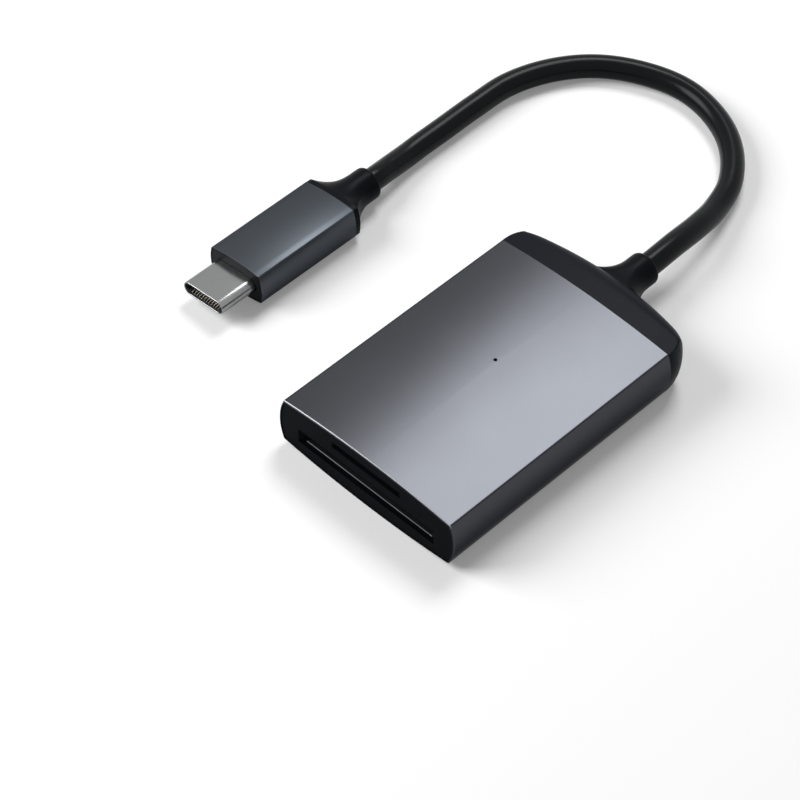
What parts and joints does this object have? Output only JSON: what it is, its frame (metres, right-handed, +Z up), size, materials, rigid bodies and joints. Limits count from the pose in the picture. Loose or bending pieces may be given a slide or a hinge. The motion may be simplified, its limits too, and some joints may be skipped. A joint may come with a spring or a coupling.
{
  "type": "usb memory card reader",
  "caption": "Card reader for full-size and micro memory cards, in an aluminium shell with plastic end caps, on a short captive cable with a USB-C plug.",
  "frame": {"origin": "under the middle of the housing, at the height of the table", "axes": "+X to the right when one looks into the card slots, +Y from the card slots towards the cable, +Z up"},
  "size_m": [0.0644, 0.0959, 0.0098],
  "materials": {
    "anodised_aluminium": "bead-blasted, anodised space grey, satin",
    "bezel_plastic": "black, fine matt",
    "cap_plastic": "black, fine satin",
    "carrier_plastic": "black, moulded",
    "board_laminate": "green solder resist",
    "socket_plastic": "black, glass filled",
    "socket_steel": "stamped stainless sheet",
    "contact_gold": "gold flash",
    "chip_epoxy": "black moulded epoxy",
    "ferrite": "dark ferrite",
    "capacitor_ceramic": "tan ceramic with tinned ends",
    "led_resin": "milky resin",
    "light_pipe_acrylic": "clear acrylic, frosted",
    "wire_insulation": "five colours of insulation",
    "moulded_tpe": "black elastomer, satin",
    "cable_jacket": "black, satin gloss",
    "plug_aluminium": "bead-blasted, anodised space grey, satin",
    "insert_plastic": "black, satin",
    "inner_mould_plastic": "natural polypropylene",
    "plug_steel": "nickel plated, polished"
  },
  "bodies": {
    "root": {"aluminium_shell": "anodised_aluminium", "front_bezel": "bezel_plastic", "rear_cap": "cap_plastic", "board_carrier": "carrier_plastic", "circuit_board": "board_laminate", "sd_socket_base": "socket_plastic", "sd_socket_cover": "socket_steel", "sd_contacts": "contact_gold", "microsd_socket_base": "socket_plastic", "microsd_socket_cover": "socket_steel", "microsd_contacts": "contact_gold", "controller_chip": "chip_epoxy", "crystal": "socket_steel", "voltage_regulator": "chip_epoxy", "power_inductor": "ferrite", "chip_capacitors": "capacitor_ceramic", "status_led": "led_resin", "light_pipe": "light_pipe_acrylic", "cable_wires": "wire_insulation", "cable_strain_relief": "moulded_tpe", "cable": "cable_jacket", "plug_boot": "moulded_tpe", "plug_sleeve": "plug_aluminium", "plug_front_insert": "insert_plastic", "plug_inner_mould": "inner_mould_plastic", "plug_board": "board_laminate", "usb_c_shell": "plug_steel", "usb_c_insulator": "socket_plastic", "usb_c_contacts": "contact_gold", "usb_c_latches": "socket_steel"}
  },
  "joints": []
}
